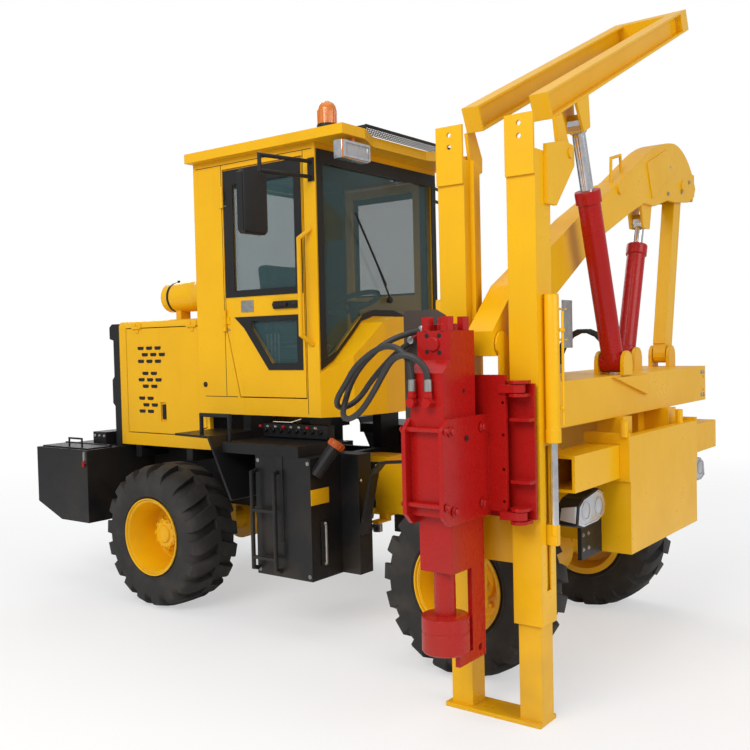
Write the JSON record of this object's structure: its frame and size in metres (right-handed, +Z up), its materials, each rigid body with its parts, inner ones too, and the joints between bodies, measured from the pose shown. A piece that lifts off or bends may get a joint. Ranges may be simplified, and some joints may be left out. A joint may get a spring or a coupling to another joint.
{
  "type": "pile driver rig",
  "caption": "Articulated four-wheel carrier with a cab, a folding side mast and a hydraulic hammer that drives guard-rail posts.",
  "frame": {"origin": "on the ground, under the middle of the footprint", "axes": "+X forward, from the rear weight box to the front; +Y to the machine's left; +Z up"},
  "size_m": [4.4, 3.1894, 3.6789],
  "materials": {
    "yellow_paint": "worn gloss",
    "red_paint": "worn gloss",
    "black_paint": "satin",
    "black_plastic": "matte",
    "amber_lamp": "gloss",
    "engine_iron": "rough",
    "seat_cloth": "woven",
    "clear_glass": "clear",
    "rubber_tread": "dusty",
    "hose_rubber": "satin",
    "chromed_rod": "polished"
  },
  "bodies": {
    "rear_frame": {"rear_chassis": "yellow_paint", "rear_axle": "yellow_paint", "rear_weight_box": "black_paint", "hood_shell": "yellow_paint", "radiator_grille": "black_plastic", "engine_block": "engine_iron", "air_cleaner": "yellow_paint", "cab_shell": "yellow_paint", "cab_roof": "yellow_paint", "cab_glass": "clear_glass", "driver_seat": "seat_cloth", "steering_column": "black_plastic", "mirrors": "black_plastic", "roof_lamps": "amber_lamp", "side_tanks": "black_paint", "step_decks": "black_paint", "rear_fenders": "black_paint", "front_mudguards": "black_paint"},
    "front_frame": {"front_chassis": "yellow_paint", "front_axle": "yellow_paint", "front_weight_box": "yellow_paint", "low_beam": "yellow_paint", "top_beam": "yellow_paint", "headlamps": "black_plastic", "mast_posts": "yellow_paint", "leg_cylinders": "yellow_paint"},
    "wheel_rear_right": {"tyre_rear_right": "rubber_tread", "rim_rear_right": "yellow_paint"},
    "wheel_front_right": {"tyre_front_right": "rubber_tread", "rim_front_right": "yellow_paint"},
    "door_body_right": {"door_right": "yellow_paint", "door_glass_right": "clear_glass"},
    "hood_panel_body_right": {"hood_panel_right": "yellow_paint"},
    "box_lid_body_right": {"box_lid_right": "black_paint"},
    "steer_barrel_body_right": {"steer_barrel_right": "black_paint"},
    "steer_rod_body_right": {"steer_rod_right": "chromed_rod"},
    "wheel_rear_left": {"tyre_rear_left": "rubber_tread", "rim_rear_left": "yellow_paint"},
    "wheel_front_left": {"tyre_front_left": "rubber_tread", "rim_front_left": "yellow_paint"},
    "door_body_left": {"door_left": "yellow_paint", "door_glass_left": "clear_glass"},
    "hood_panel_body_left": {"hood_panel_left": "yellow_paint"},
    "box_lid_body_left": {"box_lid_left": "black_paint"},
    "steer_barrel_body_left": {"steer_barrel_left": "black_paint"},
    "steer_rod_body_left": {"steer_rod_left": "chromed_rod"},
    "legs": {"mast_legs": "yellow_paint"},
    "folding_mast": {"mast_top": "yellow_paint"},
    "fold_cylinder": {"fold_barrel": "red_paint"},
    "fold_piston": {"fold_rod": "chromed_rod"},
    "carriage": {"hammer_carriage": "red_paint", "boom_tip_ears": "yellow_paint"},
    "boom_body": {"boom": "yellow_paint"},
    "strut_body": {"boom_strut": "yellow_paint"},
    "lift_cylinder": {"lift_barrel": "red_paint"},
    "lift_piston": {"lift_rod": "chromed_rod"},
    "hammer_body": {"hammer": "red_paint", "hammer_hose_front": "hose_rubber", "hammer_hose_rear": "hose_rubber"},
    "drive_tool_body": {"drive_cap": "red_paint"}
  },
  "joints": [
    {"name": "steer", "type": "hinge", "parent": "rear_frame", "child": "front_frame", "pos_m": [0.275, 0.13166, 0.79], "axis": [0, 0, 1], "range_deg": [-35, 35]},
    {"name": "wheel_rear_right_spin", "type": "hinge", "parent": "rear_frame", "child": "wheel_rear_right", "pos_m": [-0.9, -0.62334, 0.47], "axis": [0, 1, 0], "continuous": true},
    {"name": "wheel_front_right_spin", "type": "hinge", "parent": "front_frame", "child": "wheel_front_right", "pos_m": [1.45, -0.62334, 0.47], "axis": [0, 1, 0], "continuous": true},
    {"name": "door_right_hinge", "type": "hinge", "parent": "rear_frame", "child": "door_body_right", "pos_m": [-0.4285, -0.53034, 2.13], "axis": [0, 0, 1], "range_deg": [-85, 0]},
    {"name": "hood_panel_right_hinge", "type": "hinge", "parent": "rear_frame", "child": "hood_panel_body_right", "pos_m": [-1.16, -0.42734, 1.853], "axis": [1, 0, 0], "range_deg": [-80, 0]},
    {"name": "box_lid_right_hinge", "type": "hinge", "parent": "rear_frame", "child": "box_lid_body_right", "pos_m": [-1.9, -0.53834, 1.0093], "axis": [1, 0, 0], "range_deg": [-100, 0]},
    {"name": "steer_barrel_right_pin", "type": "hinge", "parent": "rear_frame", "child": "steer_barrel_body_right", "pos_m": [-0.26, -0.19834, 0.555], "axis": [0, 0, 1], "range_deg": [-6.91, 6.91]},
    {"name": "steer_rod_right_slide", "type": "slide", "parent": "steer_barrel_body_right", "child": "steer_rod_body_right", "axis": [0.9953, 0.0968, 0], "range_m": [-0.16391, 0.16391]},
    {"name": "wheel_rear_left_spin", "type": "hinge", "parent": "rear_frame", "child": "wheel_rear_left", "pos_m": [-0.9, 0.88666, 0.47], "axis": [0, 1, 0], "continuous": true},
    {"name": "wheel_front_left_spin", "type": "hinge", "parent": "front_frame", "child": "wheel_front_left", "pos_m": [1.45, 0.88666, 0.47], "axis": [0, 1, 0], "continuous": true},
    {"name": "door_left_hinge", "type": "hinge", "parent": "rear_frame", "child": "door_body_left", "pos_m": [-0.4285, 0.79366, 2.13], "axis": [0, 0, 1], "range_deg": [0, 85]},
    {"name": "hood_panel_left_hinge", "type": "hinge", "parent": "rear_frame", "child": "hood_panel_body_left", "pos_m": [-1.16, 0.69066, 1.853], "axis": [1, 0, 0], "range_deg": [0, 80]},
    {"name": "box_lid_left_hinge", "type": "hinge", "parent": "rear_frame", "child": "box_lid_body_left", "pos_m": [-1.9, 0.80166, 1.0093], "axis": [1, 0, 0], "range_deg": [0, 100]},
    {"name": "steer_barrel_left_pin", "type": "hinge", "parent": "rear_frame", "child": "steer_barrel_body_left", "pos_m": [-0.26, 0.46166, 0.555], "axis": [0, 0, 1], "range_deg": [-6.91, 6.91]},
    {"name": "steer_rod_left_slide", "type": "slide", "parent": "steer_barrel_body_left", "child": "steer_rod_body_left", "axis": [0.9953, -0.0968, 0], "range_m": [-0.16391, 0.16391]},
    {"name": "leg_slide", "type": "slide", "parent": "front_frame", "child": "legs", "axis": [0, 0, 1], "range_m": [0, 0.33]},
    {"name": "mast_fold", "type": "hinge", "parent": "front_frame", "child": "folding_mast", "pos_m": [1.8375, -0.79834, 2.55], "axis": [1, 0, 0], "range_deg": [0, 65.2]},
    {"name": "fold_barrel_pin", "type": "hinge", "parent": "front_frame", "child": "fold_cylinder", "pos_m": [2.015, -0.11834, 1.58], "axis": [1, 0, 0], "range_deg": [0, 10.4]},
    {"name": "fold_rod_slide", "type": "slide", "parent": "fold_cylinder", "child": "fold_piston", "axis": [0, -0.326, 0.9454], "range_m": [0, 0.26985]},
    {"name": "carriage_lift", "type": "slide", "parent": "front_frame", "child": "carriage", "axis": [0, 0, 1], "range_m": [0, 1.8]},
    {"name": "boom_tip_pin", "type": "hinge", "parent": "carriage", "child": "boom_body", "pos_m": [1.8375, -1.11334, 1.695], "axis": [1, 0, 0], "range_deg": [-40.28, 0]},
    {"name": "strut_foot_pin", "type": "hinge", "parent": "front_frame", "child": "strut_body", "pos_m": [1.8375, 1.09666, 1.592], "axis": [1, 0, 0], "range_deg": [-3.04, 0]},
    {"name": "lift_barrel_pin", "type": "hinge", "parent": "front_frame", "child": "lift_cylinder", "pos_m": [1.8375, 0.49166, 1.59], "axis": [1, 0, 0], "range_deg": [0, 5.08]},
    {"name": "lift_rod_slide", "type": "slide", "parent": "lift_cylinder", "child": "lift_piston", "axis": [0, 0.2975, 0.9547], "range_m": [0, 0.42189]},
    {"name": "hammer_swing", "type": "hinge", "parent": "carriage", "child": "hammer_body", "pos_m": [2.025, -1.18634, 1.225], "axis": [0, 0, 1], "range_deg": [0, 90]},
    {"name": "drive_cap_slide", "type": "slide", "parent": "hammer_body", "child": "drive_tool_body", "axis": [0, 0, 1], "range_m": [0, 0.05]}
  ],
  "couplings": [
    {"joint": "steer_barrel_right_pin", "follows": "steer", "ratio": 0.19695},
    {"joint": "steer_rod_right_slide", "follows": "steer", "m_per_rad": 0.268},
    {"joint": "steer_barrel_left_pin", "follows": "steer", "ratio": 0.19695},
    {"joint": "steer_rod_left_slide", "follows": "steer", "m_per_rad": -0.268},
    {"joint": "fold_barrel_pin", "follows": "mast_fold", "ratio": 0.15929},
    {"joint": "fold_rod_slide", "follows": "mast_fold", "m_per_rad": 0.23705},
    {"joint": "boom_tip_pin", "follows": "carriage_lift", "rad_per_m": -0.39049},
    {"joint": "strut_foot_pin", "follows": "carriage_lift", "rad_per_m": -0.029398},
    {"joint": "lift_barrel_pin", "follows": "carriage_lift", "rad_per_m": 0.049161},
    {"joint": "lift_rod_slide", "follows": "carriage_lift", "ratio": 0.23433}
  ]
}
